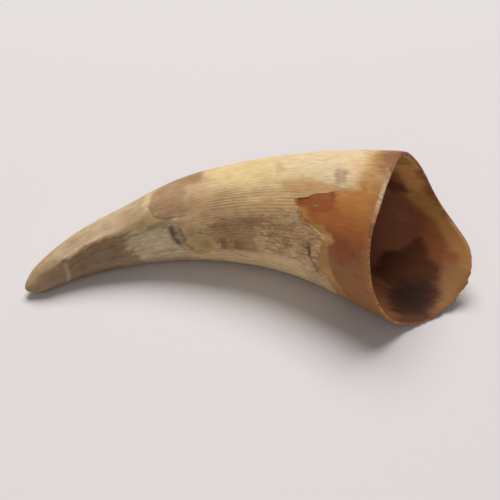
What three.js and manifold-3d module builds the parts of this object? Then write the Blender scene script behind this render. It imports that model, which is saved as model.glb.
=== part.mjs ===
// A raw cow horn lying on its flank: one grown piece, solid at the tip and hollow
// from past its middle to the open mouth. Millimetres, +Z up, floor at z = 0.
// The tip points to -X. The mouth opens to +X, turned towards -Y, the inside of the bend.
import * as THREE from 'three';
import { mergeVertices } from 'three/addons/utils/BufferGeometryUtils.js';
import Module from 'manifold-3d';

// Centre line from the tip to past the mouth, at stations of equal spacing, and the
// mean radius at each station. Every "along" below is a distance from the tip on this line.
const stationGap = 29.3;
const centreLine = [
  [-99.1, -13.8, 4.3],
  [-76.1, 3.5, 9.7],
  [-49.3, 14.4, 14.4],
  [-20.8, 19.4, 19.6],
  [8.3, 17.1, 23.8],
  [35.9, 8.0, 28.1],
  [61.2, -6.9, 31.8],
  [85.7, -26.1, 34.0],
];
const meanRadius = [4.2, 9.8, 14.6, 20.0, 24.2, 28.4, 32.4, 33.6];
const tipRounding = 6.4;

// The section grows oval towards the mouth. Every "clock" below is an angle in degrees
// round the section: 0 is the far side (+Y), 90 the top, 180 the near side, 270 underneath.
const oval = 0.10;
const ovalClock = 50;
const topFullness = 0.045;

// The mouth is a slanting, wavy cut: how far along it lies every 30 degrees of the clock,
// and how thick the wall is there. The wall gets thicker towards the tip.
const rimAlong = [183.1, 175.8, 174.3, 177.3, 180.2, 181.7, 186.1, 191.9, 196.3, 202.2, 205.1, 200.7];
const rimWall = [1.8, 2.0, 2.2, 2.4, 2.4, 2.0, 1.5, 1.3, 1.3, 1.3, 1.4, 1.6];
const chipDepth = 0.35;
const wallGrowth = 0.03;
const cavityEnd = 74;
const cavityRounding = 14;

// The rough outer layer has flaked off short of the mouth. Its ragged edge, a low
// ledge, is given as [clock, along] all the way round.
const ledgeEdge = [
  [0, 163], [18, 168], [34, 160], [50, 166], [65, 158], [80, 163], [94, 166], [115, 165],
  [119, 158], [124, 148], [130, 138], [136, 143], [148, 144], [153, 154], [157, 160],
  [163, 160], [170, 157], [186, 155], [196, 158], [201, 164], [221, 166], [240, 161],
  [262, 168], [280, 163], [297, 169], [318, 160], [338, 167], [360, 163],
];
const ledgeHeight = 0.6;
const ledgeRun = 1.0;
const layerTaper = 45;

// Fine lengthwise ridges, strongest between the worn tip and the ledge.
const ridgeCount = 48;
const ridgeHeight = 0.22;

// Low swells, worn hollows and the crease that runs up the tip: where each has its
// middle, how high it stands (negative is a hollow), and its half length and half width.
const swells = [
  { along: 13, clock: 95, rise: 0.7, long: 9, wide: 55 },
  { along: 35, clock: 124, rise: 1.0, long: 20, wide: 9 },
  { along: 36, clock: 160, rise: -0.5, long: 22, wide: 22 },
  { along: 52, clock: 75, rise: -0.35, long: 11, wide: 35 },
  { along: 62, clock: 175, rise: -0.5, long: 17, wide: 34 },
  { along: 77, clock: 92, rise: 0.55, long: 11, wide: 32 },
  { along: 78, clock: 152, rise: -0.5, long: 3, wide: 14 },
  { along: 97, clock: 85, rise: -0.3, long: 8, wide: 32 },
  { along: 149, clock: 174, rise: -0.5, long: 3, wide: 5 },
  { along: 120, clock: 320, rise: -0.4, long: 14, wide: 16 },
  { along: 60, clock: 350, rise: 0.4, long: 12, wide: 20 },
];

// The horn has settled on its underside, which is worn flat by this much.
const restWear = 0.3;

const samplesRound = 3 * ridgeCount;
const ringsToLedge = 21;
const ringsToRim = 4;
const ringsInside = 6;

const toRadians = Math.PI / 180;

// A smooth curve through evenly spaced values, with straight ends.
function smooth(values, at) {
  const last = values.length - 1;
  const place = Math.min(Math.max(at, 0), last);
  const start = Math.min(Math.floor(place), last - 1);
  const t = place - start;
  const slope = (i) => (values[Math.min(i + 1, last)] - values[Math.max(i - 1, 0)])
    / (i === 0 || i === last ? 1 : 2);
  const blend = t * t * (3 - 2 * t);
  return values[start] * (1 - blend) + values[start + 1] * blend
    + t * (1 - t) * ((1 - t) * slope(start) - t * slope(start + 1));
}

// The same for values spaced evenly round the clock.
function smoothRound(values, clock) {
  const at = (clock / 360) * values.length;
  const start = Math.floor(at);
  const near = [-1, 0, 1, 2].map((step) => values[(start + step + values.length) % values.length]);
  return smooth(near, at - start + 1);
}

function ledgeAt(clock) {
  const next = ledgeEdge.findIndex(([edgeClock]) => edgeClock > clock);
  const [clockA, alongA] = ledgeEdge[next - 1];
  const [clockB, alongB] = ledgeEdge[next];
  return THREE.MathUtils.mapLinear(clock, clockA, clockB, alongA, alongB);
}

// Small chips along the broken rim are added to its smooth course.
function rimAt(clock) {
  const turn = clock * toRadians;
  const chips = Math.sin(11 * turn) * Math.sin(5 * turn + 1);
  const smallChips = 0.7 * Math.sin(23 * turn + 2) * Math.sin(3 * turn);
  return smoothRound(rimAlong, clock) + chipDepth * (chips + smallChips);
}

function centreAt(along) {
  const at = along / stationGap;
  const [x, y, z] = [0, 1, 2].map((axis) => smooth(centreLine.map((point) => point[axis]), at));
  return new THREE.Vector3(x, y, z);
}

// The two axes of a section: level towards the far side, and up.
function sectionAxes(along) {
  const reach = 0.3;
  const ahead = centreAt(along + reach).sub(centreAt(along - reach)).normalize();
  const side = new THREE.Vector3(-ahead.y, ahead.x, 0).normalize();
  const up = new THREE.Vector3().crossVectors(ahead, side);
  return { side, up };
}

function bodyRadius(along, clock) {
  const growth = (along / (stationGap * (centreLine.length - 1))) ** 2;
  const ovalness = oval * Math.cos(2 * (clock - ovalClock) * toRadians);
  const fullness = topFullness * Math.sin(clock * toRadians);
  return smooth(meanRadius, along / stationGap) * (1 + growth * (ovalness + fullness));
}

// A dome that rises from zero to one over a length.
function dome(distance, length) {
  const left = 1 - Math.min(distance / length, 1);
  return Math.sqrt(1 - left * left);
}

// What stands proud of the plain body: ridges, the flaked layer, swells and hollows.
function relief(along, clock) {
  const ledge = ledgeAt(clock);
  const onLayer = THREE.MathUtils.clamp((ledge + ledgeRun - along) / ledgeRun, 0, 1);
  const thickening = THREE.MathUtils.smoothstep(along, ledge - layerTaper, ledge);
  const layer = ledgeHeight * onLayer * thickening;
  const ridgeFade = THREE.MathUtils.smoothstep(along, 22, 85) * (0.35 + 0.65 * onLayer);
  const unevenness = 0.7 + 0.3 * Math.sin(5 * clock * toRadians + along / 24);
  const ridge = ridgeHeight * ridgeFade * unevenness * Math.cos(ridgeCount * clock * toRadians);
  let height = layer + ridge;
  for (const swell of swells) {
    const turn = ((clock - swell.clock + 540) % 360) - 180;
    const away = ((along - swell.along) / swell.long) ** 2 + (turn / swell.wide) ** 2;
    height += swell.rise * Math.exp(-away);
  }
  return height;
}

function placeOnSection(along, clock, radius) {
  const { side, up } = sectionAxes(along);
  return centreAt(along)
    .addScaledVector(side, radius * Math.cos(clock * toRadians))
    .addScaledVector(up, radius * Math.sin(clock * toRadians));
}

function outerPoint(along, clock) {
  const radius = (bodyRadius(along, clock) + relief(along, clock)) * dome(along, tipRounding);
  return placeOnSection(along, clock, radius);
}

function innerPoint(along, clock) {
  const wall = smoothRound(rimWall, clock) + wallGrowth * (rimAt(clock) - along);
  const radius = (bodyRadius(along, clock) - wall) * dome(along - cavityEnd, cavityRounding);
  return placeOnSection(along, clock, radius);
}

// Rings from the tip to the rim, then back down the cavity. The rings near the ledge
// lean towards its ragged edge, so two of them follow its top and its foot exactly.
function hornRings() {
  const rings = [];
  const meanLedge = ledgeEdge.reduce((sum, point) => sum + point[1], 0) / ledgeEdge.length;
  for (let i = 1; i <= ringsToLedge; i += 1) {
    const part = (i / ringsToLedge) ** 1.5;
    rings.push((clock) => outerPoint(part * meanLedge + (ledgeAt(clock) - meanLedge) * part ** 6, clock));
  }
  for (let i = 0; i <= ringsToRim; i += 1) {
    rings.push((clock) => {
      const foot = ledgeAt(clock) + ledgeRun;
      return outerPoint(foot + (rimAt(clock) - foot) * (i / ringsToRim), clock);
    });
  }
  for (let i = ringsInside; i > 0; i -= 1) {
    const part = (i / ringsInside) ** 1.4;
    rings.push((clock) => innerPoint(cavityEnd + (rimAt(clock) - cavityEnd) * part, clock));
  }
  return rings.map((ring) => Array.from({ length: samplesRound }, (_, j) => ring((360 * j) / samplesRound)));
}

// Skin the rings from the tip's pole to the cavity's pole, faces pointing out.
function hornGeometry() {
  const rings = hornRings();
  const points = [centreAt(0), ...rings.flat(), centreAt(cavityEnd)];
  const faces = [];
  const at = (ring, j) => 1 + ring * samplesRound + (j % samplesRound);
  for (let j = 0; j < samplesRound; j += 1) {
    faces.push(0, at(0, j + 1), at(0, j));
    for (let ring = 0; ring < rings.length - 1; ring += 1) {
      faces.push(at(ring, j), at(ring, j + 1), at(ring + 1, j + 1));
      faces.push(at(ring, j), at(ring + 1, j + 1), at(ring + 1, j));
    }
    faces.push(at(rings.length - 1, j), at(rings.length - 1, j + 1), points.length - 1);
  }
  const geometry = new THREE.BufferGeometry().setFromPoints(points);
  geometry.setIndex(faces);
  return geometry;
}

const wasm = await Module();
wasm.setup();

function toSolid(geometry) {
  const plain = geometry.clone();
  plain.deleteAttribute('normal');
  plain.deleteAttribute('uv');
  const merged = mergeVertices(plain);
  return new wasm.Manifold(new wasm.Mesh({
    numProp: 3,
    vertProperties: new Float32Array(merged.attributes.position.array),
    triVerts: new Uint32Array(merged.index.array),
  }));
}

function toGeometry(solid) {
  const mesh = solid.getMesh();
  const geometry = new THREE.BufferGeometry();
  geometry.setAttribute('position', new THREE.BufferAttribute(new Float32Array(mesh.vertProperties), 3));
  geometry.setIndex(new THREE.BufferAttribute(new Uint32Array(mesh.triVerts), 1));
  geometry.computeVertexNormals();
  return geometry;
}

const floorBlock = new THREE.BoxGeometry(400, 300, 40).translate(0, 0, -20);
const settled = hornGeometry().translate(0, 0, -restWear);
const horn = new THREE.Mesh(
  toGeometry(toSolid(settled).subtract(toSolid(floorBlock))),
  new THREE.MeshStandardMaterial({ color: 0xb08a58, roughness: 0.55, metalness: 0 }),
);
horn.name = 'cow_horn';

const part = new THREE.Group();
part.add(horn);

export default part;
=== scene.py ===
# A raw cow horn lying on its flank on a pale floor. The horn is one mesh: a straight
# blank of rings is extruded and subdivided, then laid on the horn's sections and carved.
import math

import bpy
import numpy as np
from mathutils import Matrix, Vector


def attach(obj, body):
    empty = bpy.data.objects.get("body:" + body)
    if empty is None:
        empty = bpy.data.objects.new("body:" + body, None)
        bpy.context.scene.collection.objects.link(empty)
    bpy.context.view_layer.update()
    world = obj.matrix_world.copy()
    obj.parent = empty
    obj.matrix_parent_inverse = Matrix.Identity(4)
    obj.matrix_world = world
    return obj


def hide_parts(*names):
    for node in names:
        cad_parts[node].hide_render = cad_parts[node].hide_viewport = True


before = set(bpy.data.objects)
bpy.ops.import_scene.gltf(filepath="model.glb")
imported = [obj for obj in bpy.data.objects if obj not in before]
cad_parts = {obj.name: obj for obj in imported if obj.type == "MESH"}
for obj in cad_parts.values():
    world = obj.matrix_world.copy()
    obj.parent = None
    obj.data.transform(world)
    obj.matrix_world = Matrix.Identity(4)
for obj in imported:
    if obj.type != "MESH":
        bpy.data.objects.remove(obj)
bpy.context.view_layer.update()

MM = 0.001

# Sizes in millimetres. The centre line from the tip to past the mouth, at stations of equal
# spacing, and the mean radius at each are the solid's. They were fitted to the photographed
# outline and rounded. Every "along" is a distance from the tip on that line.
STATION_GAP = 29.3
CENTRE_LINE = [
    (-99.1, -13.8, 4.3),
    (-76.1, 3.5, 9.7),
    (-49.3, 14.4, 14.4),
    (-20.8, 19.4, 19.6),
    (8.3, 17.1, 23.8),
    (35.9, 8.0, 28.1),
    (61.2, -6.9, 31.8),
    (85.7, -26.1, 34.0),
]
MEAN_RADIUS = [4.2, 9.8, 14.6, 20.0, 24.2, 28.4, 32.4, 33.6]
LINE_END = STATION_GAP * (len(CENTRE_LINE) - 1)

# The tip narrows over a longer way than the solid's and is a little shorter. The
# underside is worn as flat as there.
TIP_ROUNDING = 9.0
TIP_SHARPNESS = 0.55
TIP_SHORTENED = 0.3
TIP_END = 15
REST_WEAR = 0.3

# Every "clock" is an angle round the section in degrees: 0 is the far side (+Y),
# 90 the top, 180 the near side, 270 underneath.
OVAL = 0.10
OVAL_CLOCK = 50
TOP_FULLNESS = 0.045
HOOP_RADIUS = 22
CROWN_CLOCK = 88
CHIPPED_CLOCK = 285

# Every 30 degrees of the clock: how far along the rim lies, how thick the wall is there, and how deep its
# broken face is bevelled. The rim was fitted too, then moved in places.
RIM_ALONG =[183.1, 176.0, 174.3, 177.3, 180.2, 181.7, 186.1, 191.9, 196.3, 202.2, 205.4, 201.2]
RIM_WALL = [1.8, 2.0, 2.2, 2.4, 2.4, 2.0, 1.5, 1.3, 1.3, 1.3, 1.4, 1.6]
RIM_BEVEL = [0.3, 0.3, 0.4, 0.9, 1.5, 1.0, 0.4, 0.2, 0.2, 0.2, 0.3, 0.3]
WALL_GROWTH = 0.03
CAVITY_END = 74
CAVITY_ROUNDING = 14

# The ragged edge where the rough outer layer has flaked off, as (clock, along).
LEDGE_EDGE = [
    (0, 163), (18, 168), (34, 160), (50, 166), (65, 158), (84, 164), (95, 165), (106, 166),
    (116, 165.5), (118, 163), (120, 158), (122, 156), (123.5, 149), (127, 146), (129, 138.5),
    (134, 141), (138, 143), (146, 143.5), (148, 146), (152, 150.5), (156, 156), (160, 160),
    (163, 158.5), (166, 157), (179, 156), (186, 157), (191, 158.5), (196, 161), (202, 163.5),
    (221, 163), (240, 161), (262, 168), (280, 163), (297, 169), (318, 160), (338, 167), (360, 163),
]
LEDGE_HEIGHT = 0.6
LEDGE_RUN = 0.7
LEDGE_LEAN = 12
LAYER_TAPER = 45
RIDGES_ROUND = 110
RIDGE_HEIGHT = 0.05

# Swells and hollows: (along, clock, rise, half length, half width in degrees).
SWELLS = [
    (4, 110, -0.8, 5, 60),
    (13, 95, 0.7, 9, 55),
    (35, 124, 1.0, 20, 9),
    (36, 160, -0.5, 22, 22),
    (52, 75, -0.35, 11, 35),
    (62, 175, -0.5, 17, 34),
    (77, 92, 0.55, 11, 32),
    (78, 152, -0.5, 3, 14),
    (97, 85, -0.3, 8, 32),
    (149, 174, -0.5, 3, 5),
    (120, 320, -0.4, 14, 16),
    (60, 350, 0.4, 12, 20),
]

# The blank's rings: which ring of the outer layer lies how far along, closest at the tip,
# at the cracks and at the ledge, and how many rings the rest has. Its sides crowd
# towards the near side, and two rounds of subdivision quarter every face twice.
SIDES = 80
CROWDING = 25
CROWDED_CLOCK = 140
LAYER_RING_PLACES = [(0, 0), (6, 8), (21, 58), (33, 84), (44, 134), (54, 162)]
BARE_RINGS = 9
CAVITY_RINGS = 13
CAVITY_RING_PLACES = [(0, 0.0), (3, 0.1), (6, 0.5), (13, 1.0)]
SUBDIVISIONS = 2

LEDGE_TOP, MEAN_LEDGE = LAYER_RING_PLACES[-1]
LEDGE_FOOT = LEDGE_TOP + 1
RIM_OUTSIDE = LEDGE_FOOT + BARE_RINGS
RIM_INSIDE = RIM_OUTSIDE + 1
CAVITY_POLE = RIM_INSIDE + CAVITY_RINGS


def make_blank():
    """A closed straight blank along Z, one unit between rings, with a pole at each end."""
    bpy.ops.object.select_all(action="DESELECT")
    bpy.ops.mesh.primitive_circle_add(vertices=SIDES, radius=1.0, location=(0, 0, 1))
    blank = bpy.context.object
    blank.name = "horn"
    bpy.ops.object.transform_apply(location=True, rotation=True, scale=True)
    bpy.ops.object.mode_set(mode="EDIT")
    bpy.ops.mesh.select_all(action="SELECT")
    for _ in range(CAVITY_POLE - 2):
        bpy.ops.mesh.extrude_region_move(TRANSFORM_OT_translate={"value": (0, 0, 1)})
    close_pole(1, 0)
    close_pole(CAVITY_POLE - 1, CAVITY_POLE)
    bpy.ops.mesh.select_all(action="SELECT")
    bpy.ops.mesh.normals_make_consistent(inside=False)
    bpy.ops.object.mode_set(mode="OBJECT")
    fine = blank.modifiers.new("fine", "SUBSURF")
    fine.subdivision_type = "SIMPLE"
    fine.levels = fine.render_levels = SUBDIVISIONS
    bpy.ops.object.modifier_apply(modifier=fine.name)
    return blank


def close_pole(last_ring, pole):
    """Closes one end of the blank: extrudes its last ring and merges it to one point."""
    mesh = bpy.context.object.data
    bpy.ops.object.mode_set(mode="OBJECT")
    for vertex in mesh.vertices:
        vertex.select = abs(vertex.co.z - last_ring) < 0.1
    for edge in mesh.edges:
        edge.select = all(mesh.vertices[i].select for i in edge.vertices)
    for face in mesh.polygons:
        face.select = False
    bpy.ops.object.mode_set(mode="EDIT")
    bpy.ops.mesh.extrude_edges_move(TRANSFORM_OT_translate={"value": (0, 0, pole - last_ring)})
    bpy.ops.mesh.merge(type="CENTER")


def smooth(values, at):
    """A smooth curve through evenly spaced values, read at an array of places."""
    values = np.asarray(values, float)
    start = np.clip(np.floor(at).astype(int), 0, len(values) - 2)
    t = at - start
    slopes = np.gradient(values)
    rise = t * t * (3 - 2 * t)
    return (values[start] * (1 - rise) + values[start + 1] * rise
            + t * (1 - t) * ((1 - t) * slopes[start] - t * slopes[start + 1]))


def smooth_round(values, clock):
    """The same for values spaced evenly round the clock."""
    wrapped = list(values[-2:]) + list(values) + list(values[:3])
    return smooth(wrapped, (clock % 360) / 360 * len(values) + 2)


def ease(value, low, high):
    t = np.clip((value - low) / (high - low), 0, 1)
    return t * t * (3 - 2 * t)


def turn_between(clock, middle):
    return (clock - middle + 540) % 360 - 180


def lattice(cell, seed):
    """A repeatable pseudo-random value between -1 and 1 for whole-numbered cells."""
    mixed = np.sin(cell @ np.array([127.1, 311.7, 74.7]) + seed * 53.3) * 43758.5453
    return 2 * (mixed - np.floor(mixed)) - 1


def mottle(points, seed):
    """Smooth noise between about -1 and 1, with features about one unit across."""
    cell = np.floor(points)
    t = points - cell
    t = t * t * (3 - 2 * t)
    total = np.zeros(len(points))
    for corner in np.ndindex(2, 2, 2):
        weight = np.prod(np.where(corner, t, 1 - t), axis=1)
        total += weight * lattice(cell + corner, seed)
    return total


def cloud(points, seed, octaves=3):
    """Layers of mottle, each half as large and half as strong."""
    total = np.zeros(len(points))
    for octave in range(octaves):
        total += mottle(points * 2 ** octave, seed + 7 * octave) / 2 ** octave
    return total / 1.6


def ledge_at(clock, hoop):
    edge = np.array(LEDGE_EDGE, float)
    ragged = mottle(hoop * 0.5, 2) + 0.8 * mottle(hoop * 1.3, 3) + 0.5 * mottle(hoop * 3.0, 4)
    return np.interp(clock, edge[:, 0], edge[:, 1]) + ragged


def rim_at(clock, hoop):
    """The rim is whole on the near side and chipped underneath."""
    chipped = 0.12 + 0.4 * ease(np.abs(turn_between(clock, CHIPPED_CLOCK)), 90, 30)
    chips = chipped * (mottle(hoop * 0.5, 5) + 0.5 * mottle(hoop * 1.6, 6))
    return smooth_round(RIM_ALONG, clock) + chips


def section(along):
    """Centre, level axis to the far side and upward axis of the section at each along."""
    def centre(distance):
        stations = np.array(CENTRE_LINE, float)
        return np.stack([smooth(stations[:, axis], distance / STATION_GAP) for axis in range(3)], 1)
    ahead = centre(along + 0.3) - centre(along - 0.3)
    ahead /= np.linalg.norm(ahead, axis=1)[:, None]
    side = np.stack([-ahead[:, 1], ahead[:, 0], np.zeros(len(along))], 1)
    side /= np.linalg.norm(side, axis=1)[:, None]
    return centre(along), side, np.cross(ahead, side)


def body_radius(along, clock):
    growth = (along / LINE_END) ** 2
    ovalness = OVAL * np.cos(np.radians(2 * (clock - OVAL_CLOCK)))
    fullness = TOP_FULLNESS * np.sin(np.radians(clock))
    return smooth(MEAN_RADIUS, along / STATION_GAP) * (1 + growth * (ovalness + fullness))


def dome(distance, length, sharpness=0.5):
    left = 1 - np.clip(distance / length, 0, 1)
    return (1 - left * left) ** sharpness


def read_blank(mesh):
    """The ring number and the clock of every point of the blank, and its ledge and rim."""
    co = np.empty(len(mesh.vertices) * 3)
    mesh.vertices.foreach_get("co", co)
    co = co.reshape(-1, 3)
    turn = np.degrees(np.arctan2(co[:, 1], co[:, 0]))
    crowding = CROWDING * np.sin(np.radians(turn - CROWDED_CLOCK))
    at = {"ring": co[:, 2], "clock": (turn - crowding) % 360}
    angle = np.radians(at["clock"])
    at["hoop"] = HOOP_RADIUS * np.stack([0 * angle, np.cos(angle), np.sin(angle)], 1)
    at["ledge"] = ledge_at(at["clock"], at["hoop"])
    at["rim"] = rim_at(at["clock"], at["hoop"])
    return at


def lay_out(at):
    """Turns ring numbers into distances along, and names what lies where."""
    ring, rim = at["ring"], at["rim"]
    places = np.array(LAYER_RING_PLACES, float)
    layer_along = np.interp(ring, places[:, 0], places[:, 1])
    layer_along += (at["ledge"] - MEAN_LEDGE) * (layer_along / MEAN_LEDGE) ** LEDGE_LEAN
    bare_part = np.clip((ring - LEDGE_FOOT) / BARE_RINGS, 0, 1)
    bevel = smooth_round(RIM_BEVEL, at["clock"])
    at["lip"] = np.clip(ring - RIM_OUTSIDE, 0, 1)
    outside_along = layer_along + np.clip(ring - LEDGE_TOP, 0, 1) * LEDGE_RUN
    outside_along += bare_part * (rim - bevel - at["ledge"] - LEDGE_RUN) + at["lip"] * bevel
    cavity_places = np.array(CAVITY_RING_PLACES)
    cavity_part = np.interp(CAVITY_POLE - ring, cavity_places[:, 0], cavity_places[:, 1])
    inside_along = CAVITY_END + (rim - CAVITY_END) * cavity_part
    at["along"] = np.where(ring > RIM_INSIDE, inside_along, outside_along)
    at["on_layer"] = np.clip(LEDGE_FOOT - ring, 0, 1)
    at["outside"] = (ring < RIM_OUTSIDE + 0.1).astype(float)
    turn = np.radians(at["clock"])
    radius = body_radius(at["along"], at["clock"])
    at["straight"] = np.stack([at["along"], radius * np.cos(turn), radius * np.sin(turn)], 1)
    at["waver"] = waver(at, 21)
    at["waver_across"] = waver(at, 23)
    at["crumble"] = cloud(at["straight"] * (0.5, 1.0, 1.0), 25)
    at["ridges"] = combed_ridges(at)
    return at


def waver(at, seed):
    """Uneven shifts for drawn edges: fine and lengthwise on the skin, broad inside."""
    straight = at["straight"]
    skin = mottle(straight * (0.2, 0.6, 0.6), seed) + 0.7 * mottle(straight * (0.5, 1.6, 1.6), seed + 1)
    hollow = mottle(straight * 0.15, seed) + 0.7 * mottle(straight * 0.35, seed + 1)
    return np.where(at["ring"] > RIM_OUTSIDE, hollow, skin)


def patch(at, along, clock, long, wide, seed, soft=0.35, ragged=0.35):
    """A soft-edged, uneven spot of the skin: 1 inside, 0 outside. wide is in degrees."""
    far = np.hypot((at["along"] - along) / long, turn_between(at["clock"], clock) / wide)
    uneven = ragged * cloud(at["straight"] * (0.12, 0.3, 0.3), seed)
    return 1 - ease(far + uneven, 1 - soft, 1 + soft)


def flat_place(at, along, clock, near, ragged):
    """Places near a spot of the skin, rolled out flat in millimetres from that spot."""
    per_degree = math.radians(float(smooth(MEAN_RADIUS, np.array([along / STATION_GAP]))[0]))
    x = at["along"][near] - along + ragged * at["waver"][near]
    y = turn_between(at["clock"][near], clock) * per_degree + ragged * at["waver_across"][near]
    return x, y, per_degree


def points_near(at, outline, margin):
    """The middle of an outline, and which points lie within a margin of its reach."""
    first = outline[0, 1]
    outline = outline.copy()
    outline[:, 1] = first + turn_between(outline[:, 1], first)
    along, clock = (outline.min(0) + outline.max(0)) / 2
    reach_along, reach_clock = (outline.max(0) - outline.min(0)) / 2
    near = np.abs(at["along"] - along) < reach_along + margin
    near &= np.abs(turn_between(at["clock"], clock)) < reach_clock + margin * 5
    return outline, along, clock, np.flatnonzero(near)


def distance_to_line(x, y, a, b):
    run = b - a
    part = np.clip(((x - a[0]) * run[0] + (y - a[1]) * run[1]) / (run @ run), 0, 1)
    return np.hypot(x - a[0] - part * run[0], y - a[1] - part * run[1])


def region(at, outline, soft, ragged):
    """How much an outlined part of the skin covers each point. soft and ragged in mm."""
    cover = np.zeros(len(at["along"]))
    outline, along, clock, near = points_near(at, np.array(outline, float), 2 + 2 * (soft + ragged))
    x, y, per_degree = flat_place(at, along, clock, near, ragged)
    corners = (outline - (along, clock)) * (1, per_degree)
    gap = np.full(len(near), 1e3)
    inside = np.zeros(len(near), bool)
    for a, b in zip(corners, np.roll(corners, -1, axis=0)):
        gap = np.minimum(gap, distance_to_line(x, y, a, b))
        crosses = (a[1] > y) != (b[1] > y)
        with np.errstate(divide="ignore", invalid="ignore"):
            inside ^= crosses & (x < a[0] + (y - a[1]) / (b[1] - a[1]) * (b[0] - a[0]))
    crumbled = np.where(inside, -gap, gap) + 0.9 * soft * at["crumble"][near]
    cover[near] = 1 - ease(crumbled, -1.4 * soft, 1.4 * soft)
    return cover


# Cracks, nicks and scratches, and at the ledge a pit and crevices darkened with painted shade and a painted
# shadow under its edge: the places they run through as (along, clock), half width and depth in millimetres,
# and how much they darken the skin. Less than 0 is a pale mark.
STROKES = [
    ([(74, 146), (73.8, 155), (74.2, 165), (75.4, 173)], 1.5, 0.25, 0.66),
    ([(72.5, 146), (73, 152)], 1.2, 0.10, 0.30),
    ([(77.6, 152), (78.4, 160), (79.0, 168)], 0.8, 0.20, 0.42),
    ([(78.6, 173), (79.6, 181), (82, 188)], 0.7, 0.15, 0.34),
    ([(75.4, 174), (77.2, 184)], 0.9, 0.15, 0.32),
    ([(58, 160), (66, 158), (71, 160)], 0.5, 0.03, 0.14),
    ([(54, 176), (62, 172), (70, 174)], 0.5, 0.03, 0.12),
    ([(24, 150), (34, 146), (44, 150)], 0.7, 0.03, 0.16),
    ([(26, 176), (38, 172), (50, 180)], 0.7, 0.03, 0.14),
    ([(49, 142), (58, 143), (64, 142), (71, 138)], 0.6, 0.10, 0.30),
    ([(62, 138), (68, 135), (74, 135)], 0.45, 0.10, 0.35),
    ([(60, 188), (71, 186), (82, 189)], 0.4, 0.08, 0.30),
    ([(66, 198), (72, 195), (79, 194)], 0.35, 0.08, 0.28),
    ([(68, 213), (79, 206)], 0.4, 0.05, 0.25),
    ([(70, 144), (72.5, 140)], 1.1, 0.15, 0.40),
    ([(66.4, 106), (66.8, 122), (70, 131), (75, 134), (82, 136)], 0.4, 0.25, 0.30),
    ([(86, 161), (94, 167), (96.8, 179), (97, 189)], 0.4, 0.12, 0.35),
    ([(103, 193), (112, 199)], 0.5, 0.05, 0.28),
    # a pit and crevices at the ledge, darkened with painted shade, then a painted shadow under the ledge
    # edge
    ([(150.2, 170), (150.6, 177)], 1.1, 0.50, 0.72),
    ([(146, 170), (149, 172)], 0.7, 0.25, 0.50),
    ([(150.6, 178), (152.6, 184), (156.2, 191)], 0.55, 0.30, 0.52),
    ([(153.5, 186), (155.5, 193), (160, 199)], 0.5, 0.20, 0.40),
    ([(142, 141), (143.5, 147), (147, 150), (152, 153)], 0.5, 0.20, 0.35),
    ([(157.2, 121.5), (160, 125.5)], 0.45, 0.15, 0.45),
    ([(17, 112), (17.8, 116)], 0.5, 0.05, 0.35),
    ([(19.4, 124), (21.4, 127.5)], 0.6, 0.10, 0.45),
    ([(20, 140), (19.2, 164), (18, 205)], 0.9, 0.05, -0.32),
    ([(123, 78), (124, 90), (126.4, 103)], 0.5, 0.10, -0.45),
    ([(160, 102), (161.2, 107)], 0.35, 0.05, 0.40),
    ([(156.4, 103), (157.6, 107)], 0.35, 0.05, 0.28),
    ([(171.4, 102), (173, 102.6)], 0.35, 0.05, 0.35),
    ([(171.2, 114), (172.8, 115.4)], 0.5, 0.05, 0.30),
    ([(175, 162), (176, 167)], 0.45, 0.05, 0.38),
    ([(178, 179), (179, 184)], 0.45, 0.05, 0.38),
    ([(181.6, 168), (182.4, 171)], 0.4, 0.05, 0.35),
    ([(150, 134), (153, 133)], 0.3, 0.05, -0.30),
]


def stroke_marks(at):
    """How deep the strokes cut at every point, and how much they darken it."""
    depth = np.zeros(len(at["along"]))
    dark = np.zeros(len(at["along"]))
    for places, half, deep, darkness in STROKES:
        places, along, clock, near = points_near(at, np.array(places, float), 4 * half + 1)
        x, y, per_degree = flat_place(at, along, clock, near, 0.25)
        corners = (places - (along, clock)) * (1, per_degree)
        legs = zip(corners[:-1], corners[1:])
        gap = np.min([distance_to_line(x, y, a, b) for a, b in legs], axis=0)
        patchy = np.clip(1 + 0.5 * at["waver_across"][near] + 0.3 * at["crumble"][near], 0.15, 2)
        mark = np.exp(-(gap / (half * patchy)) ** 2) * at["outside"][near]
        depth[near] = np.maximum(depth[near], deep * mark)
        dark[near] += darkness * mark * (1 - np.abs(dark[near]))
    return depth, dark


def carve(at):
    """How far every outside point stands proud of the plain body, in millimetres."""
    along, clock, straight = at["along"], at["clock"], at["straight"]
    faint_on_crown = 1 - 0.93 * ease(np.abs(turn_between(clock, CROWN_CLOCK)), 46, 32)
    layer = LEDGE_HEIGHT * at["on_layer"] * ease(along, at["ledge"] - LAYER_TAPER, at["ledge"])
    height = layer * faint_on_crown * (1 + 0.4 * mottle(at["hoop"] * 0.35, 8))
    for swell_along, swell_clock, rise, long, wide in SWELLS:
        turn = turn_between(clock, swell_clock)
        height += rise * np.exp(-((along - swell_along) / long) ** 2 - (turn / wide) ** 2)
    frayed = patch(at, 144, 176, 22, 24, seed=14) * at["on_layer"]
    height += 0.16 * frayed * cloud(straight * (0.5, 1.4, 1.4), 15) + RIDGE_HEIGHT * at["ridges"]
    height += 0.22 * cloud(straight * 0.07, 16) + 0.05 * cloud(straight * (0.3, 0.7, 0.7), 17)
    return height


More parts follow.
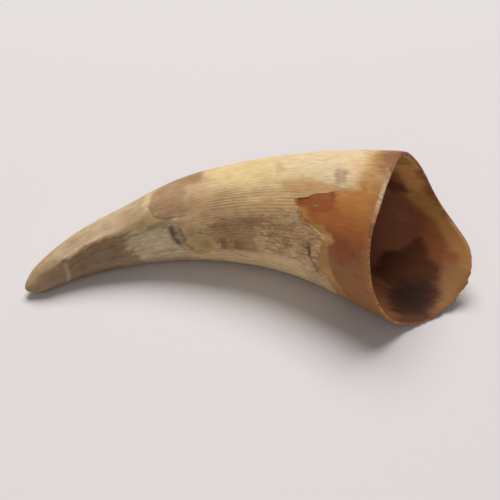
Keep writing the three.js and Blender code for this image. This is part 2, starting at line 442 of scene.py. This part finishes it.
def horn_points(at):
    """The finished place of every point, in millimetres."""
    along, clock, lip = at["along"], at["clock"], at["lip"]
    deep, at["dark"] = stroke_marks(at)
    radius = body_radius(along, clock)
    outer = (radius + carve(at) - deep) * dome(along, TIP_ROUNDING, TIP_SHARPNESS)
    wall = smooth_round(RIM_WALL, clock) + WALL_GROWTH * (at["rim"] - along)
    waves = 0.25 * cloud(at["straight"] * 0.12, 31) * ease(at["rim"] - along, 0, 12)
    inner = (radius - wall + waves) * dome(along - CAVITY_END, CAVITY_ROUNDING)
    place = np.where(at["ring"] > RIM_INSIDE, inner, outer + lip * (inner - outer))
    rough_cut = np.sin(np.pi * lip) * (0.35 + 0.25 * mottle(at["straight"] * 1.1, 32))
    shortened = TIP_SHORTENED * (1 - ease(along, 0, TIP_END))
    centre, side, up = section(along + rough_cut + shortened)
    turn = np.radians(clock)
    points = centre + (place * np.cos(turn))[:, None] * side + (place * np.sin(turn))[:, None] * up
    points[:, 2] = np.maximum(points[:, 2] - REST_WEAR, 0)
    return points


def srgb(red, green, blue):
    """A colour as seen, in 0 to 255, turned into the linear values that shading uses."""
    seen = np.array([red, green, blue]) / 255
    return np.where(seen <= 0.04045, seen / 12.92, ((seen + 0.055) / 1.055) ** 2.4)


# Colours are as seen, from 0 to 255. Most began as readings at spots of the photograph and were then
# adjusted. First the broad stains of the outer layer, mostly on the sides away from the viewer: (colour,
# along, clock, half length, half width in degrees, strength, softness, raggedness).
LAYER_COLOUR = (198, 166, 126)
LAYER_STAINS = [
    ((186, 156, 120), 0, 100, 20, 360, 0.9, 0.6, 0.2),
    ((152, 128, 104), 6, 215, 24, 75, 0.95, 0.4, 0.3),
    ((166, 140, 112), 40, 240, 34, 60, 0.7, 0.6, 0.3),
    ((236, 205, 152), 128, 80, 42, 40, 0.95, 0.4, 0.25),
    ((222, 190, 142), 122, 20, 50, 50, 0.7, 0.6, 0.35),
    ((220, 193, 150), 128, 206, 32, 22, 0.85, 0.45, 0.35),
    ((196, 168, 128), 110, 262, 60, 42, 0.7, 0.6, 0.3),
    ((170, 134, 96), 92, 330, 22, 26, 0.6, 0.5, 0.6),
    ((150, 116, 82), 140, 300, 14, 14, 0.6, 0.4, 0.7),
    ((206, 176, 134), 60, 20, 26, 40, 0.6, 0.5, 0.4),
]

# Outlined parts of the outer layer: (colour, strength, softness and raggedness in mm,
# corners as (along, clock)). Each is painted over the ones before it.
LAYER_REGIONS = [
    # tan skin above the crease with a pale strip on its crest, partly its own tone and partly painted
    # highlight, dark skin below it and the brown tip
    ((207, 181, 146), 0.90, 2.0, 1.2, [(14, 92), (24, 55), (50, 55), (64, 66), (64, 108), (50, 124),
                                       (32, 120), (20, 118)]),
    # the pale strip along the crease crest: partly a painted highlight
    ((216, 188, 150), 0.95, 0.8, 0.6, [(22, 116), (36, 115), (52, 119), (52, 130), (36, 128), (22, 128)]),
    ((156, 130, 104), 0.90, 1.5, 1.0, [(4, 172), (8, 116), (14, 122), (20, 134), (19, 170), (18, 215),
                                       (8, 230), (2, 220)]),
    ((146, 122, 95), 1.00, 0.7, 0.6, [(20, 136), (26, 130), (34, 129), (45, 129), (53, 133), (51, 150),
                                      (57, 176), (56, 214), (40, 226), (21, 234), (18, 207), (19, 164)]),
    ((158, 123, 90), 0.80, 1.2, 1.2, [(30, 127), (45, 127), (51, 134), (49, 150), (38, 146), (28, 138)]),
    ((122, 100, 76), 0.60, 0.8, 1.2, [(44, 150), (49, 152), (50, 168), (44, 170)]),
    ((168, 146, 118), 0.70, 1.2, 1.2, [(46, 196), (56, 192), (58, 214), (46, 218)]),
    # the grey scrape with its cracked end, and the pale horn round it
    ((194, 165, 119), 0.75, 1.2, 1.0, [(54, 112), (64, 116), (71, 131), (66, 136), (56, 133), (50, 126)]),
    ((204, 184, 148), 1.00, 1.0, 1.6, [(50, 146), (55, 135), (63, 138), (70, 135), (74, 138), (75, 150),
                                       (76, 171), (78, 188), (84, 195), (80, 218), (66, 220), (57, 216),
                                       (54, 184), (49, 158)]),
    ((217, 201, 167), 0.90, 1.5, 1.2, [(58, 149), (64, 147), (72, 151), (71, 172), (65, 185), (59, 172)]),
    ((180, 164, 138), 0.80, 1.0, 1.0, [(57, 204), (66, 200), (80, 200), (79, 218), (66, 221), (57, 217)]),
    ((170, 148, 126), 0.85, 0.8, 0.6, [(72, 146), (77, 149), (79.5, 158), (80, 170), (78, 178),
                                       (74, 172), (72.5, 156)]),
    ((160, 138, 110), 0.50, 0.8, 2.6, [(45, 133), (53, 136), (51, 160), (54, 190), (54, 214), (44, 216)]),
    # the pink-brown lobe with the pale band beside it
    ((228, 202, 162), 0.85, 0.7, 0.5, [(67, 63), (69.4, 70), (67, 100), (65, 109), (62, 104), (64, 81)]),
    ((186, 155, 120), 0.70, 1.5, 1.2, [(53, 84), (64, 82), (64, 106), (54, 110)]),
    ((188, 152, 117), 0.95, 1.0, 0.6, [(79, -12), (84, 4), (90, 28), (92, 77), (93, 98), (91, 114),
                                       (86, 124), (83, 133), (75, 132.5), (69, 126), (66.5, 113), (67, 95),
                                       (69, 81), (73, 60)]),
    ((174, 136, 98), 0.95, 1.2, 1.4, [(80, 50), (90, 55), (91, 88), (86, 93), (83, 86), (79, 72)]),
    ((178, 141, 108), 0.50, 1.0, 1.2, [(72, 80), (77, 78), (77, 92), (72, 94)]),
    ((228, 192, 148), 0.80, 1.6, 1.5, [(84, 95), (91, 90), (98, 100), (97, 116), (90, 122), (84, 112)]),
    ((224, 194, 150), 0.90, 1.0, 0.8, [(76, 133.5), (84, 133.5), (93, 130), (94, 138), (84, 141),
                                       (77, 139)]),
    # the yellow patch, then the brown blotches and the pale, olive and fibrous parts
    ((218, 186, 140), 0.65, 1.2, 1.0, [(80, 140), (90, 140), (95, 146), (88, 153), (81, 153)]),
    ((190, 161, 113), 0.95, 0.6, 0.6, [(80, 160), (82, 152), (88, 155), (94, 164), (97, 178), (97, 192),
                                       (94, 206), (86, 216), (83, 202), (80, 184)]),
    ((218, 194, 148), 0.90, 0.8, 0.8,[(82, 204), (92, 192), (98, 198), (94, 212), (86, 217)]),
    ((168, 139, 95), 0.65, 1.0, 0.8, [(86, 172), (93, 176), (93, 187), (88, 186)]),
    ((202, 172, 124), 0.60, 0.8, 0.8, [(85, 158), (90, 162), (90, 172), (84, 170)]),
    ((212, 174, 131), 0.80, 2.0, 1.5, [(84, 117), (98, 117), (110, 121), (112, 142), (97, 148), (84, 140)]),
    ((228, 190, 138), 0.80, 2.0, 1.5, [(112, 121), (126, 124), (142, 130), (143, 140), (126, 143),
                                       (112, 142)]),
    ((174, 135, 95), 0.90, 0.9, 1.6, [(93, 149), (108, 148), (123, 147), (124, 163), (114, 173),
                                      (110, 188), (101, 192), (97, 178), (93, 163)]),
    ((160, 122, 84), 0.70, 0.8, 1.4, [(106, 150), (118, 148), (120, 156), (110, 159)]),
    ((136, 100, 73), 0.85, 0.8, 1.0, [(97, 172), (102, 173), (101, 188), (98, 187)]),
    ((140, 110, 76), 0.80, 0.8, 1.0, [(106, 174), (111, 175), (111, 188), (106, 187)]),
    ((160, 128, 88), 0.85, 0.8, 1.0, [(111, 173), (119, 173), (119, 190), (111, 190)]),
    ((204, 176, 136), 0.85, 1.0, 1.4, [(118, 160), (126, 161), (125, 190), (121, 206), (112, 204),
                                       (118, 186)]),
    ((206, 168, 125), 0.90, 1.0, 1.6,[(124, 149), (136, 149), (145, 148), (155, 153), (161, 161),
                                       (158, 171), (158, 188), (147, 190), (134, 184), (125, 178)]),
    ((184, 146, 106), 0.70, 1.0, 1.6,[(125, 152), (133, 152), (140, 164), (138, 176), (128, 170)]),
    ((194, 156, 116), 0.70, 1.0, 1.4,[(144, 154), (154, 156), (158, 163), (154, 170), (146, 168)]),
    ((196, 166, 130), 0.80, 1.0, 1.6, [(126, 178), (144, 176), (156, 186), (146, 192), (127, 190)]),
    ((224, 198, 154), 0.90, 1.0, 1.4, [(98, 200), (114, 196), (132, 188), (150, 189), (154, 213),
                                       (140, 224), (117, 226), (98, 218)]),
    ((200, 169, 134), 0.80, 1.2, 1.4, [(144, 190), (155, 188), (161, 198), (163, 222), (148, 218)]),
    ((186, 154, 120), 0.60, 0.8, 1.4, [(152, 178), (157, 180), (160, 196), (155, 196)]),
    # the crown: yellow, then whitish, with its smudge and the orange skin under it
    ((242, 213, 157), 0.90, 4.0, 2.0, [(97, 84), (99, 55), (122, 50), (126, 75), (128, 111), (110, 113),
                                       (98, 106)]),
    ((238, 213, 172), 0.95, 1.5, 1.5, [(124, 60), (160, 50), (167, 93), (168, 116), (150, 112),
                                       (132, 106), (126, 90)]),
    ((206, 173, 129), 0.55, 0.8, 1.0, [(126, 84), (129, 86), (131, 100), (127, 101)]),
    ((240, 198, 152), 0.60, 1.0, 1.0, [(160, 84), (166, 86), (167, 108), (162, 108)]),
    ((188, 156, 130), 0.80, 0.9, 0.9, [(155, 100), (160, 99), (162.5, 111), (158, 113)]),
    ((214, 170, 119), 0.80, 1.2, 1.0, [(132, 112), (142, 111), (157, 115.5), (158, 121), (145, 128),
                                       (134, 125)]),
    ((214, 162, 114), 0.80, 0.5, 0.6, [(143, 115), (149, 114), (159, 117), (159, 119.5), (146, 120.5)]),
]

# The bare horn between ledge and rim: its colour at places round the clock, and the
# outlined parts of it.
AMBER_ROUND = [
    (0, (176, 128, 76)), (40, (182, 134, 80)), (70, (186, 140, 82)), (105, (202, 154, 92)),
    (120, (206, 146, 82)), (134, (204, 138, 75)), (148, (190, 115, 61)), (162, (166, 100, 59)),
    (178, (164, 110, 69)), (200, (154, 106, 63)), (240, (150, 104, 62)), (300, (160, 112, 66)),
    (360, (176, 128, 76)),
]
BARE_REGIONS = [
    ((230, 196, 150), 0.80, 1.6, 1.6, [(158, 60), (165, 60), (167, 84), (168.5, 104), (168, 117),
                                       (160, 117)]),
    ((140, 92, 50), 0.85, 2.0, 1.2, [(168, 40), (176, 40), (178, 86), (177, 100), (172.5, 94), (170, 76)]),
    ((184, 130, 80), 0.60, 1.0, 0.8, [(174, 104), (184, 104), (186, 150), (192, 196), (188, 196),
                                      (180, 164), (176.5, 130)]),
    ((160, 92, 55), 0.80, 1.2, 1.0, [(165, 158), (172, 156), (175, 168), (171, 180), (166, 176)]),
    ((194, 120, 66), 0.95, 1.0, 1.0, [(140, 128), (160, 126), (168, 141), (163, 148), (146, 148)]),
    ((176, 103, 60), 0.95, 0.6, 0.8, [(136, 127), (145, 126), (148, 121), (156, 119), (160, 124),
                                      (161, 137), (152, 139), (144, 134)]),
    ((222, 157, 88), 0.90, 0.6, 0.5, [(141.5, 137), (146, 138.5), (149, 146), (143.5, 149)]),
    ((198, 153, 95), 0.95, 0.5, 0.6, [(148, 148), (156, 149), (163, 154), (165, 160), (162, 166),
                                      (162, 178), (166, 192), (170, 206), (162, 206), (156, 190),
                                      (154, 170)]),
    ((186, 139, 88), 0.80, 0.8, 0.6, [(156, 168), (162, 168), (163, 184), (158, 186)]),
    ((226, 173, 117), 0.90, 0.5, 0.5, [(157, 155.5), (163, 156), (163.6, 160), (157, 163)]),
    ((176, 131, 86), 0.80, 0.7, 0.6, [(162, 200), (166, 195), (172, 211), (163, 224)]),
]

# The inside: near the rim the thin far wall is amber, partly its own colour and partly painted glow of
# light shining through the wall; deeper down it is dark.
INSIDE_COLOUR = (150, 96, 64)
INSIDE_REGIONS = [
    # the amber far wall and its bright patch: partly painted glow of light through the thin wall
    ((196, 146, 88), 1.00, 3.0, 2.0, [(158, 60), (186, 60), (186, 10), (208, 345), (212, 300), (206, 282),
                                      (196, 320), (186, 335), (176, 350), (163, 12)]),
    ((232, 178, 112), 0.80, 1.5, 1.5, [(166, 33), (175, 34), (179, 16), (174, 3), (168, 12)]),
    ((128, 78, 44), 0.85, 0.9, 0.8, [(175, 30), (178, 30), (180.5, 14), (184, 3), (190.5, 350), (187, 350),
                                     (180, 4), (177.5, 14)]),
    ((160, 104, 76), 0.95, 1.2, 1.6, [(100, 60), (160, 30), (168, 10), (172, 355), (176, 340), (178, 326),
                                     (176, 316), (173, 306), (168, 290), (160, 280), (100, 280)]),
    ((172, 116, 84), 0.80, 1.6, 1.6, [(160, 350), (170, 345), (175, 326), (172, 308), (166, 296),
                                      (158, 320)]),
    ((120, 62, 36), 0.80, 0.8, 1.0, [(160, 14), (168, 12), (171, 3), (165, 1), (160, 6)]),
    ((164, 102, 56), 0.90, 1.6, 1.6, [(174, 352), (180, 347), (189, 333), (198, 322), (199, 309),
                                      (190, 307), (184, 318), (178, 330)]),
    ((176, 108, 68), 0.70, 1.0, 1.0, [(191, 325), (197, 322), (199, 312), (193, 312)]),
    ((170, 126, 80), 1.00, 1.5, 1.0, [(193, 313), (199, 315), (210, 309), (212, 296), (208, 283),
                                      (205, 272), (200, 267), (197, 282), (195, 296)]),
    ((164, 108, 68), 0.80, 1.5, 1.0, [(100, 200), (160, 276), (172, 273), (179, 258), (186, 247),
                                      (184, 236), (176, 150), (120, 120)]),
    ((108, 63, 37), 1.00, 1.0, 1.6, [(165, 276), (167, 288), (169, 303), (173, 306), (176, 318),
                                     (179, 327), (183, 325), (186, 308), (193, 306), (194, 299),
                                     (192, 292), (197, 286), (199, 272), (199, 258), (193, 243), (186, 248),
                                     (179, 258), (177, 269), (171, 274)]),
    ((50, 21, 9), 0.90, 4.0, 1.2, [(176, 266), (182, 282), (190, 292), (196, 286), (198, 272), (198, 258),
                                    (192, 246), (186, 250), (180, 258)]),
    ((94, 56, 32), 0.85, 1.0, 1.2, [(193, 246), (200, 258), (205, 262), (200, 236), (190, 226)]),
]

# The broken face of the rim, round the clock: pale on its upper near side, partly its own pale cut and
# partly a painted highlight, else brown.
CUT_ROUND = [
    (0, (150, 104, 62)), (60, (160, 112, 70)), (92, (190, 142, 98)), (106, (250, 220, 180)),
    (126, (250, 214, 170)), (140, (180, 126, 82)), (200, (176, 128, 84)), (300, (150, 110, 66)),
    (360, (150, 104, 62)),
]

# The white sheen on top of the skin pales it, so the paint under it is a little warmer.
WARMTH = (1.02, 0.99, 0.93)


def colour_round(table, clock):
    clocks = [place for place, _ in table]
    colours = np.array([srgb(*seen) for _, seen in table])
    return np.stack([np.interp(clock, clocks, colours[:, channel]) for channel in range(3)], 1)


def paint_stains(colour, at, stains):
    for number, (seen, along, clock, long, wide, strength, soft, ragged) in enumerate(stains):
        cover = strength * patch(at, along, clock, long, wide, 40 + number, soft, ragged)
        colour += cover[:, None] * (srgb(*seen) - colour)


def paint_regions(colour, at, regions):
    for seen, strength, soft, ragged, outline in regions:
        cover = strength * region(at, outline, soft, ragged)
        colour += cover[:, None] * (srgb(*seen) - colour)


def paint(at):
    """The colour of every point, before the fine grain that the material adds."""
    straight, clock = at["straight"], at["clock"]
    layer = np.tile(srgb(*LAYER_COLOUR), (len(straight), 1))
    paint_stains(layer, at, LAYER_STAINS)
    paint_regions(layer, at, LAYER_REGIONS)
    streaks = mottle(straight * (0.05, 1.0, 1.0), 61) + 0.6 * mottle(straight * (0.12, 2.4, 2.4), 62)
    blotches = cloud(straight * (0.25, 0.4, 0.4), 63, 4)
    layer *= (1 + 0.06 * streaks * ease(at["along"], 20, 70))[:, None]
    blotches += 1.1 * cloud(straight * (0.1, 0.18, 0.18), 68) * ease(at["along"], 100, 60)
    calm_crown = 1 - 0.45 * ease(np.abs(turn_between(clock, 85)), 40, 20) * ease(at["along"], 85, 100)
    layer *= 1 + (calm_crown * blotches)[:, None] * (0.13, 0.17, 0.21)
    bare = colour_round(AMBER_ROUND, clock)
    paint_regions(bare, at, BARE_REGIONS)
    bare *= (1 + 0.06 * mottle(straight * (0.10, 0.7, 0.7), 64) + 0.05 * cloud(straight * 0.4, 65))[:, None]
    inside = np.tile(srgb(*INSIDE_COLOUR), (len(straight), 1))
    paint_regions(inside, at, INSIDE_REGIONS)
    inside *= (1 + 0.10 * cloud(straight * (0.3, 0.3, 0.3), 66))[:, None]
    soft = 0.5 + 2.2 * ease(np.abs(turn_between(clock, CROWN_CLOCK)), 36, 22)
    past_ledge = at["along"] - at["ledge"] - LEDGE_RUN / 2 + 0.8 * soft * at["crumble"]
    coat = 1 - ease(past_ledge, -soft, soft)
    colour = bare + coat[:, None] * (layer - bare)
    colour += at["lip"][:, None] * (inside - colour)
    cut = ease(at["lip"], 0, 0.3) * ease(at["lip"], 1, 0.7)
    specks = 1 + 0.35 * mottle(straight * 1.8, 67)
    colour += cut[:, None] * (colour_round(CUT_ROUND, clock) * specks[:, None] - colour)
    dark = at["dark"][:, None]
    pale = srgb(240, 224, 196)
    colour = np.where(dark > 0, colour * (1 - dark), colour - dark * (pale - colour)) * WARMTH
    return np.clip(colour, 0.002, 0.95)


LAYER_ROUGHNESS = 0.56
BARE_ROUGHNESS = 0.50
INSIDE_ROUGHNESS = 0.75


def roughness(at):
    """Waxy where the horn is bare, dry on the outer layer and dull inside."""
    skin = BARE_ROUGHNESS + at["on_layer"] * (LAYER_ROUGHNESS - BARE_ROUGHNESS)
    uneven = 0.06 * cloud(at["straight"] * 0.15, 71)
    return skin + uneven + at["lip"] * (INSIDE_ROUGHNESS - skin)


def combed_ridges(at):
    """Fine lengthwise ridges as a wave about zero, strongest on the upper near flank."""
    straight = at["straight"]
    seen_side = ease(np.abs(turn_between(at["clock"], CROWDED_CLOCK)), 80, 50)
    faint = 0.18 * ease(at["along"], 50, 95) * seen_side
    strong = region(at, [(86, 114), (100, 112), (124, 114), (142, 122), (146, 146), (138, 158),
                         (112, 156), (94, 152), (84, 142)], 5, 3)
    lobe = region(at, [(70, 92), (84, 88), (86, 128), (72, 130)], 4, 2)
    drift = 2.5 * mottle(straight * (0.02, 0.06, 0.06), 81)
    drift += mottle(straight * (0.05, 0.25, 0.25), 82)
    patchy = 0.85 + 0.7 * mottle(straight * (0.05, 0.35, 0.35), 83)
    wave = np.sin(np.radians(at["clock"]) * RIDGES_ROUND + drift)
    return (faint + 0.82 * strong + 0.25 * lobe) * at["on_layer"] * patchy * wave


def fraying(at):
    """How frayed and speckled the skin is: worst short of the ledge on the near side."""
    worst = region(at, [(122, 146), (145, 140), (162, 158), (160, 200), (146, 194), (124, 186)], 3, 2)
    browned = region(at, [(84, 146), (122, 144), (124, 180), (98, 196)], 4, 2)
    scraped = region(at, [(22, 128), (52, 130), (76, 138), (80, 214), (22, 220)], 3, 2)
    skin = at["on_layer"] * (0.10 + 0.8 * worst + 0.4 * browned + 0.2 * scraped)
    cut = np.sin(np.pi * at["lip"])
    return 0.06 + skin + cut


def set_attribute(mesh, name, kind, values):
    layer = mesh.attributes.new(name, kind, "POINT")
    field = {"FLOAT": "value", "FLOAT_VECTOR": "vector", "FLOAT_COLOR": "color"}[kind]
    layer.data.foreach_set(field, np.ascontiguousarray(values, dtype=np.float32).ravel())


def make_horn():
    horn = make_blank()
    mesh = horn.data
    at = lay_out(read_blank(mesh))
    points = horn_points(at) * MM
    mesh.vertices.foreach_set("co", points.ravel())
    colour = paint(at)
    set_attribute(mesh, "paint", "FLOAT_COLOR", np.hstack([colour, np.ones((len(colour), 1))]))
    set_attribute(mesh, "straight", "FLOAT_VECTOR", at["straight"] * MM)
    set_attribute(mesh, "roughness", "FLOAT", roughness(at))
    set_attribute(mesh, "ridges", "FLOAT", at["ridges"])
    set_attribute(mesh, "fraying", "FLOAT", fraying(at))
    set_attribute(mesh, "clearness", "FLOAT", ease(at["along"], 135, 170) * (1 - at["on_layer"]))
    mesh.update()
    bpy.ops.object.mode_set(mode="EDIT")
    bpy.ops.mesh.select_all(action="SELECT")
    bpy.ops.mesh.normals_make_consistent(inside=False)
    bpy.ops.object.mode_set(mode="OBJECT")
    bpy.ops.object.shade_smooth()
    return horn


# How strongly each kind of grain shades the colour and stands out as bump, and how far
# light goes into the skin.
FIBRE_SHADE = 0.45
RIDGE_SHADE = 0.2
FLECK_SHADE = 2.2
SOFT_FLECK_SHADE = 1.4
FIBRE_BUMP = 0.2
BUMP_STRENGTH = 0.6
BUMP_DEPTH = 0.2 * MM
LIGHT_INTO_SKIN = 2 * MM


def horn_material():
    """Keratin: painted colour, combed ridges, frayed fibres and a waxy, uneven gloss."""
    material = bpy.data.materials.new("horn_keratin")
    material.use_nodes = True
    tree = material.node_tree
    link = tree.links.new
    shader = tree.nodes["Principled BSDF"]

    def feed(value, socket):
        if isinstance(value, (int, float)):
            socket.default_value = value
        else:
            link(value, socket)

    def attribute(name, output="Fac"):
        node = tree.nodes.new("ShaderNodeAttribute")
        node.attribute_name = name
        return node.outputs[output]

    def maths(operation, *values):
        node = tree.nodes.new("ShaderNodeMath")
        node.operation = operation
        for socket, value in zip(node.inputs, values):
            feed(value, socket)
        return node.outputs["Value"]

    straight = attribute("straight", "Vector")

    def grain(stretch, scale, detail=3.0):
        """Noise about zero, drawn out along the horn where stretch is small."""
        mapping = tree.nodes.new("ShaderNodeMapping")
        mapping.inputs["Scale"].default_value = (stretch, 1.0, 1.0)
        link(straight, mapping.inputs["Vector"])
        noise = tree.nodes.new("ShaderNodeTexNoise")
        noise.inputs["Scale"].default_value = scale
        noise.inputs["Detail"].default_value = detail
        link(mapping.outputs["Vector"], noise.inputs["Vector"])
        return maths("SUBTRACT", noise.outputs["Fac"], 0.5)

    fibres = grain(0.04, 1400)
    flecks = grain(0.18, 1700, 4.0)
    soft_flecks = grain(0.14, 650, 3.0)
    fraying = attribute("fraying")
    shade = maths("MULTIPLY_ADD", fibres, FIBRE_SHADE, maths("MULTIPLY", attribute("ridges"), RIDGE_SHADE))
    shade = maths("MULTIPLY_ADD", maths("MULTIPLY", flecks, fraying), FLECK_SHADE, shade)
    shade = maths("MULTIPLY_ADD", maths("MULTIPLY", soft_flecks, fraying), SOFT_FLECK_SHADE, shade)

    # dark grain is warmer than the skin and pale grain cooler
    tint = tree.nodes.new("ShaderNodeVectorMath")
    tint.operation = "SCALE"
    tint.inputs["Vector"].default_value = (0.8, 1.0, 1.25)
    link(shade, tint.inputs["Scale"])
    grained = tree.nodes.new("ShaderNodeVectorMath")
    grained.operation = "MULTIPLY_ADD"
    paint_colour = attribute("paint", "Color")
    for socket, value in zip(grained.inputs, (paint_colour, tint.outputs["Vector"], paint_colour)):
        link(value, socket)
    link(grained.outputs["Vector"], shader.inputs["Base Color"])

    link(maths("MULTIPLY_ADD", flecks, 0.25, attribute("roughness")), shader.inputs["Roughness"])
    shader.inputs["Specular IOR Level"].default_value = 0.25

    bump = tree.nodes.new("ShaderNodeBump")
    bump.inputs["Strength"].default_value = BUMP_STRENGTH
    bump.inputs["Distance"].default_value = BUMP_DEPTH
    relief = maths("MULTIPLY_ADD", fibres, FIBRE_BUMP, maths("MULTIPLY", flecks, fraying))
    link(relief, bump.inputs["Height"])
    link(bump.outputs["Normal"], shader.inputs["Normal"])

    link(maths("MULTIPLY_ADD", attribute("clearness"), 0.55, 0.2), shader.inputs["Subsurface Weight"])
    shader.inputs["IOR"].default_value = 1.54
    shader.inputs["Subsurface Radius"].default_value = (1.0, 0.55, 0.25)
    shader.inputs["Subsurface Scale"].default_value = LIGHT_INTO_SKIN
    return material


FLOOR_COLOUR = (236, 230, 229)
FLOOR_SIZE = 8.0


def floor_material():
    material = bpy.data.materials.new("pale_floor")
    material.use_nodes = True
    shader = material.node_tree.nodes["Principled BSDF"]
    shader.inputs["Base Color"].default_value = (*srgb(*FLOOR_COLOUR), 1)
    shader.inputs["Roughness"].default_value = 0.9
    return material


def make_floor():
    bpy.ops.object.select_all(action="DESELECT")
    bpy.ops.mesh.primitive_plane_add(size=FLOOR_SIZE,location=(0, 0, 0))
    floor = bpy.context.object
    floor.name = "floor"
    floor.data.materials.append(floor_material())


# The camera looks along +Y and down, as the photograph does.
CAMERA_ELEVATION = 40.0
CAMERA_DISTANCE = 400.0
CAMERA_TARGET = (1.4, -4.7, 20.0 - REST_WEAR)
LENS = 65.0
SENSOR = 36.0


def make_camera():
    camera = bpy.data.objects.new("camera", bpy.data.cameras.new("camera"))
    bpy.context.scene.collection.objects.link(camera)
    camera.data.lens = LENS
    camera.data.sensor_width = SENSOR
    drop = math.radians(CAMERA_ELEVATION)
    back = Vector((0, -math.cos(drop), math.sin(drop))) * CAMERA_DISTANCE
    camera.location = (Vector(CAMERA_TARGET) + back) * MM
    camera.rotation_euler = (math.radians(90) - drop, 0, 0)
    bpy.context.scene.camera = camera


# Lights, in degrees, metres and watts, and the strength of the even light from all round.
WINDOW = {"azimuth": 0, "elevation": 61, "distance": 4.0, "size": 2.8, "power": 140}
FILL = {"azimuth": 190, "elevation": 35, "distance": 2.0, "size": 1.6, "power": 5}
WORLD_STRENGTH = 0.14


def make_light(name, azimuth, elevation, distance, size, power):
    """A round soft light that faces the horn. Azimuth 0 is behind it, for the camera."""
    lamp = bpy.data.lights.new(name, "AREA")
    lamp.shape = "DISK"
    lamp.size = size
    lamp.energy = power
    light = bpy.data.objects.new(name, lamp)
    bpy.context.scene.collection.objects.link(light)
    turn, rise = math.radians(azimuth), math.radians(elevation)
    direction = Vector((math.sin(turn) * math.cos(rise), math.cos(turn) * math.cos(rise), math.sin(rise)))
    light.location = direction * distance
    light.rotation_euler = direction.to_track_quat("Z", "Y").to_euler()


def make_world(strength):
    world = bpy.data.worlds.new("studio")
    bpy.context.scene.world = world
    world.use_nodes = True
    background = world.node_tree.nodes["Background"]
    background.inputs["Color"].default_value = (1, 1, 1, 1)
    background.inputs["Strength"].default_value = strength


make_camera()
horn = make_horn()
horn.data.materials.append(horn_material())
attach(horn, "root")
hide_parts("cow_horn")
make_floor()
make_world(WORLD_STRENGTH)
make_light("window", **WINDOW)
make_light("fill", **FILL)

bpy.context.scene.view_settings.view_transform = "Standard"
